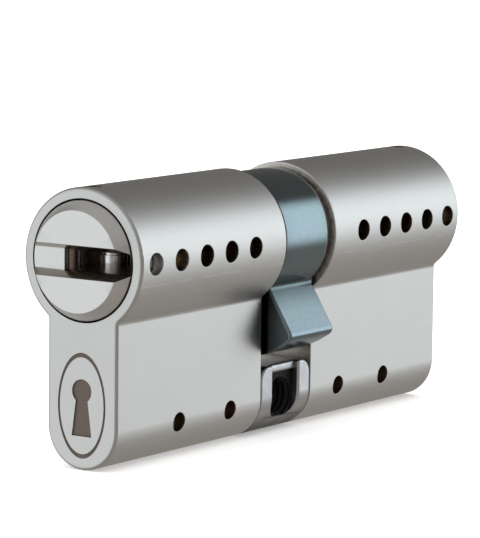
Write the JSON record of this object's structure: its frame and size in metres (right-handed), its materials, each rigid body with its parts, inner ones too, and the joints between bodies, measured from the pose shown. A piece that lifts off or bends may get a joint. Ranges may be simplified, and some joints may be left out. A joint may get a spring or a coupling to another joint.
{
  "type": "euro profile door lock cylinder",
  "caption": "Double-sided euro profile key cylinder with a turning cam between two keyed halves, for a mortice deadbolt lock.",
  "frame": {"origin": "centre of the fixing screw's threaded hole, midway between the two end faces", "axes": "+Y along the barrel from the outer half to the inner half, +Z from the flag up to the barrel, +X across the flag along the fixing screw"},
  "size_m": [0.0174, 0.073, 0.033],
  "materials": {
    "outer_body_nickel": "satin nickel plate on brass, fine brushed along the barrel",
    "outer_plug_nickel": "satin nickel plate, face turned",
    "inner_body_nickel": "satin nickel plate on brass, fine brushed along the barrel",
    "inner_plug_nickel": "satin nickel plate, face turned",
    "cam_zinc": "blue passivated zinc plate on steel",
    "bridge_steel": "bright cast steel, tumbled",
    "insert_black": "black phosphated steel",
    "hardened_steel": "hardened steel, dark heat tint",
    "polished_steel": "polished nickel silver",
    "spring_steel": "bright spring steel",
    "sintered_steel": "sintered steel, dull",
    "pin_brass": "turned brass",
    "driver_brass": "turned brass"
  },
  "bodies": {
    "housing": {"outer_body": "outer_body_nickel", "inner_body": "inner_body_nickel", "bridge": "bridge_steel", "screw_insert": "insert_black", "cross_pins": "hardened_steel", "outer_head_pin": "hardened_steel", "inner_head_pin": "hardened_steel", "outer_driver_springs": "spring_steel", "inner_driver_springs": "spring_steel"},
    "cam": {"cam": "cam_zinc"},
    "outer_plug": {"outer_plug": "outer_plug_nickel", "outer_circlip": "spring_steel", "outer_anti_drill_rod": "hardened_steel"},
    "inner_plug": {"inner_plug": "inner_plug_nickel", "inner_circlip": "spring_steel", "inner_anti_drill_rod": "hardened_steel"},
    "outer_coupler": {"outer_coupler": "sintered_steel"},
    "inner_coupler": {"inner_coupler": "sintered_steel"},
    "outer_side_pins": {"outer_side_pins": "pin_brass"},
    "outer_key_pin_1": {"outer_key_pin_1": "polished_steel"},
    "outer_key_pin_core_1": {"outer_key_pin_core_1": "pin_brass"},
    "outer_driver_pin_1": {"outer_driver_pin_1": "driver_brass"},
    "outer_key_pin_2": {"outer_key_pin_2": "polished_steel"},
    "outer_key_pin_core_2": {"outer_key_pin_core_2": "pin_brass"},
    "outer_driver_pin_2": {"outer_driver_pin_2": "driver_brass"},
    "outer_key_pin_3": {"outer_key_pin_3": "polished_steel"},
    "outer_key_pin_core_3": {"outer_key_pin_core_3": "pin_brass"},
    "outer_driver_pin_3": {"outer_driver_pin_3": "driver_brass"},
    "outer_key_pin_4": {"outer_key_pin_4": "polished_steel"},
    "outer_key_pin_core_4": {"outer_key_pin_core_4": "pin_brass"},
    "outer_driver_pin_4": {"outer_driver_pin_4": "driver_brass"},
    "outer_key_pin_5": {"outer_key_pin_5": "polished_steel"},
    "outer_key_pin_core_5": {"outer_key_pin_core_5": "pin_brass"},
    "outer_driver_pin_5": {"outer_driver_pin_5": "driver_brass"},
    "inner_side_pins": {"inner_side_pins": "pin_brass"},
    "inner_key_pin_1": {"inner_key_pin_1": "polished_steel"},
    "inner_key_pin_core_1": {"inner_key_pin_core_1": "pin_brass"},
    "inner_driver_pin_1": {"inner_driver_pin_1": "driver_brass"},
    "inner_key_pin_2": {"inner_key_pin_2": "polished_steel"},
    "inner_key_pin_core_2": {"inner_key_pin_core_2": "pin_brass"},
    "inner_driver_pin_2": {"inner_driver_pin_2": "driver_brass"},
    "inner_key_pin_3": {"inner_key_pin_3": "polished_steel"},
    "inner_key_pin_core_3": {"inner_key_pin_core_3": "pin_brass"},
    "inner_driver_pin_3": {"inner_driver_pin_3": "driver_brass"},
    "inner_key_pin_4": {"inner_key_pin_4": "polished_steel"},
    "inner_key_pin_core_4": {"inner_key_pin_core_4": "pin_brass"},
    "inner_driver_pin_4": {"inner_driver_pin_4": "driver_brass"},
    "inner_key_pin_5": {"inner_key_pin_5": "polished_steel"},
    "inner_key_pin_core_5": {"inner_key_pin_core_5": "pin_brass"},
    "inner_driver_pin_5": {"inner_driver_pin_5": "driver_brass"}
  },
  "joints": [
    {"name": "outer_plug_turn", "type": "hinge", "parent": "housing", "child": "outer_plug", "pos_m": [0, 0, 0.02], "axis": [0, 1, 0], "continuous": true},
    {"name": "inner_plug_turn", "type": "hinge", "parent": "housing", "child": "inner_plug", "pos_m": [0, 0, 0.02], "axis": [0, 1, 0], "continuous": true},
    {"name": "cam_turn", "type": "hinge", "parent": "housing", "child": "cam", "pos_m": [0, 0, 0.02], "axis": [0, 1, 0], "continuous": true},
    {"name": "outer_coupler_slide", "type": "slide", "parent": "outer_plug", "child": "outer_coupler", "axis": [0, 1, 0], "range_m": [-0.0029, 0]},
    {"name": "inner_coupler_slide", "type": "slide", "parent": "inner_plug", "child": "inner_coupler", "axis": [0, 1, 0], "range_m": [-0.0029, 0]},
    {"name": "outer_side_pins_slide", "type": "slide", "parent": "outer_plug", "child": "outer_side_pins", "axis": [1, 0, 0], "range_m": [0, 0.0005]},
    {"name": "outer_key_pin_1_slide", "type": "slide", "parent": "outer_plug", "child": "outer_key_pin_1", "axis": [0, 0, 1], "range_m": [-0.0014, 0], "stiffness_N_per_m": 20, "springref_m": 0.002},
    {"name": "outer_key_pin_core_1_slide", "type": "slide", "parent": "outer_key_pin_1", "child": "outer_key_pin_core_1", "axis": [0, 0, 1], "range_m": [-0.0006, 0]},
    {"name": "outer_driver_pin_1_slide", "type": "slide", "parent": "housing", "child": "outer_driver_pin_1", "axis": [0, 0, 1], "range_m": [-0.002, 0], "stiffness_N_per_m": 20, "springref_m": 0.002, "deforming": ["outer_driver_springs"]},
    {"name": "outer_key_pin_2_slide", "type": "slide", "parent": "outer_plug", "child": "outer_key_pin_2", "axis": [0, 0, 1], "range_m": [-0.0024, 0]},
    {"name": "outer_key_pin_core_2_slide", "type": "slide", "parent": "outer_key_pin_2", "child": "outer_key_pin_core_2", "axis": [0, 0, 1], "range_m": [-0.0003, 0]},
    {"name": "outer_driver_pin_2_slide", "type": "slide", "parent": "housing", "child": "outer_driver_pin_2", "axis": [0, 0, 1], "range_m": [-0.002, 0]},
    {"name": "outer_key_pin_3_slide", "type": "slide", "parent": "outer_plug", "child": "outer_key_pin_3", "axis": [0, 0, 1], "range_m": [-0.0018, 0]},
    {"name": "outer_key_pin_core_3_slide", "type": "slide", "parent": "outer_key_pin_3", "child": "outer_key_pin_core_3", "axis": [0, 0, 1], "range_m": [-0.0005, 0]},
    {"name": "outer_driver_pin_3_slide", "type": "slide", "parent": "housing", "child": "outer_driver_pin_3", "axis": [0, 0, 1], "range_m": [-0.002, 0]},
    {"name": "outer_key_pin_4_slide", "type": "slide", "parent": "outer_plug", "child": "outer_key_pin_4", "axis": [0, 0, 1], "range_m": [-0.0022, 0]},
    {"name": "outer_key_pin_core_4_slide", "type": "slide", "parent": "outer_key_pin_4", "child": "outer_key_pin_core_4", "axis": [0, 0, 1], "range_m": [-0.0002, 0]},
    {"name": "outer_driver_pin_4_slide", "type": "slide", "parent": "housing", "child": "outer_driver_pin_4", "axis": [0, 0, 1], "range_m": [-0.002, 0]},
    {"name": "outer_key_pin_5_slide", "type": "slide", "parent": "outer_plug", "child": "outer_key_pin_5", "axis": [0, 0, 1], "range_m": [-0.0016, 0]},
    {"name": "outer_key_pin_core_5_slide", "type": "slide", "parent": "outer_key_pin_5", "child": "outer_key_pin_core_5", "axis": [0, 0, 1], "range_m": [-0.0004, 0]},
    {"name": "outer_driver_pin_5_slide", "type": "slide", "parent": "housing", "child": "outer_driver_pin_5", "axis": [0, 0, 1], "range_m": [-0.002, 0]},
    {"name": "inner_side_pins_slide", "type": "slide", "parent": "inner_plug", "child": "inner_side_pins", "axis": [1, 0, 0], "range_m": [0, 0.0005]},
    {"name": "inner_key_pin_1_slide", "type": "slide", "parent": "inner_plug", "child": "inner_key_pin_1", "axis": [0, 0, 1], "range_m": [-0.0014, 0], "stiffness_N_per_m": 20, "springref_m": 0.002},
    {"name": "inner_key_pin_core_1_slide", "type": "slide", "parent": "inner_key_pin_1", "child": "inner_key_pin_core_1", "axis": [0, 0, 1], "range_m": [-0.0006, 0]},
    {"name": "inner_driver_pin_1_slide", "type": "slide", "parent": "housing", "child": "inner_driver_pin_1", "axis": [0, 0, 1], "range_m": [-0.002, 0], "stiffness_N_per_m": 20, "springref_m": 0.002, "deforming": ["inner_driver_springs"]},
    {"name": "inner_key_pin_2_slide", "type": "slide", "parent": "inner_plug", "child": "inner_key_pin_2", "axis": [0, 0, 1], "range_m": [-0.0024, 0]},
    {"name": "inner_key_pin_core_2_slide", "type": "slide", "parent": "inner_key_pin_2", "child": "inner_key_pin_core_2", "axis": [0, 0, 1], "range_m": [-0.0003, 0]},
    {"name": "inner_driver_pin_2_slide", "type": "slide", "parent": "housing", "child": "inner_driver_pin_2", "axis": [0, 0, 1], "range_m": [-0.002, 0]},
    {"name": "inner_key_pin_3_slide", "type": "slide", "parent": "inner_plug", "child": "inner_key_pin_3", "axis": [0, 0, 1], "range_m": [-0.0018, 0]},
    {"name": "inner_key_pin_core_3_slide", "type": "slide", "parent": "inner_key_pin_3", "child": "inner_key_pin_core_3", "axis": [0, 0, 1], "range_m": [-0.0005, 0]},
    {"name": "inner_driver_pin_3_slide", "type": "slide", "parent": "housing", "child": "inner_driver_pin_3", "axis": [0, 0, 1], "range_m": [-0.002, 0]},
    {"name": "inner_key_pin_4_slide", "type": "slide", "parent": "inner_plug", "child": "inner_key_pin_4", "axis": [0, 0, 1], "range_m": [-0.0022, 0]},
    {"name": "inner_key_pin_core_4_slide", "type": "slide", "parent": "inner_key_pin_4", "child": "inner_key_pin_core_4", "axis": [0, 0, 1], "range_m": [-0.0002, 0]},
    {"name": "inner_driver_pin_4_slide", "type": "slide", "parent": "housing", "child": "inner_driver_pin_4", "axis": [0, 0, 1], "range_m": [-0.002, 0]},
    {"name": "inner_key_pin_5_slide", "type": "slide", "parent": "inner_plug", "child": "inner_key_pin_5", "axis": [0, 0, 1], "range_m": [-0.0016, 0]},
    {"name": "inner_key_pin_core_5_slide", "type": "slide", "parent": "inner_key_pin_5", "child": "inner_key_pin_core_5", "axis": [0, 0, 1], "range_m": [-0.0004, 0]},
    {"name": "inner_driver_pin_5_slide", "type": "slide", "parent": "housing", "child": "inner_driver_pin_5", "axis": [0, 0, 1], "range_m": [-0.002, 0]}
  ],
  "couplings": [
    {"joint": "cam_turn", "follows": "outer_plug_turn", "ratio": 1},
    {"joint": "inner_coupler_slide", "follows": "outer_coupler_slide", "ratio": 1},
    {"joint": "outer_key_pin_core_1_slide", "follows": "outer_key_pin_1_slide", "ratio": 0.42857},
    {"joint": "outer_key_pin_2_slide", "follows": "outer_key_pin_1_slide", "ratio": 1.7143},
    {"joint": "outer_key_pin_core_2_slide", "follows": "outer_key_pin_1_slide", "ratio": 0.21429},
    {"joint": "outer_driver_pin_2_slide", "follows": "outer_driver_pin_1_slide", "ratio": 1},
    {"joint": "outer_key_pin_3_slide", "follows": "outer_key_pin_1_slide", "ratio": 1.2857},
    {"joint": "outer_key_pin_core_3_slide", "follows": "outer_key_pin_1_slide", "ratio": 0.35714},
    {"joint": "outer_driver_pin_3_slide", "follows": "outer_driver_pin_1_slide", "ratio": 1},
    {"joint": "outer_key_pin_4_slide", "follows": "outer_key_pin_1_slide", "ratio": 1.5714},
    {"joint": "outer_key_pin_core_4_slide", "follows": "outer_key_pin_1_slide", "ratio": 0.14286},
    {"joint": "outer_driver_pin_4_slide", "follows": "outer_driver_pin_1_slide", "ratio": 1},
    {"joint": "outer_key_pin_5_slide", "follows": "outer_key_pin_1_slide", "ratio": 1.1429},
    {"joint": "outer_key_pin_core_5_slide", "follows": "outer_key_pin_1_slide", "ratio": 0.28571},
    {"joint": "outer_driver_pin_5_slide", "follows": "outer_driver_pin_1_slide", "ratio": 1},
    {"joint": "inner_key_pin_core_1_slide", "follows": "inner_key_pin_1_slide", "ratio": 0.42857},
    {"joint": "inner_key_pin_2_slide", "follows": "inner_key_pin_1_slide", "ratio": 1.7143},
    {"joint": "inner_key_pin_core_2_slide", "follows": "inner_key_pin_1_slide", "ratio": 0.21429},
    {"joint": "inner_driver_pin_2_slide", "follows": "inner_driver_pin_1_slide", "ratio": 1},
    {"joint": "inner_key_pin_3_slide", "follows": "inner_key_pin_1_slide", "ratio": 1.2857},
    {"joint": "inner_key_pin_core_3_slide", "follows": "inner_key_pin_1_slide", "ratio": 0.35714},
    {"joint": "inner_driver_pin_3_slide", "follows": "inner_driver_pin_1_slide", "ratio": 1},
    {"joint": "inner_key_pin_4_slide", "follows": "inner_key_pin_1_slide", "ratio": 1.5714},
    {"joint": "inner_key_pin_core_4_slide", "follows": "inner_key_pin_1_slide", "ratio": 0.14286},
    {"joint": "inner_driver_pin_4_slide", "follows": "inner_driver_pin_1_slide", "ratio": 1},
    {"joint": "inner_key_pin_5_slide", "follows": "inner_key_pin_1_slide", "ratio": 1.1429},
    {"joint": "inner_key_pin_core_5_slide", "follows": "inner_key_pin_1_slide", "ratio": 0.28571},
    {"joint": "inner_driver_pin_5_slide", "follows": "inner_driver_pin_1_slide", "ratio": 1}
  ]
}
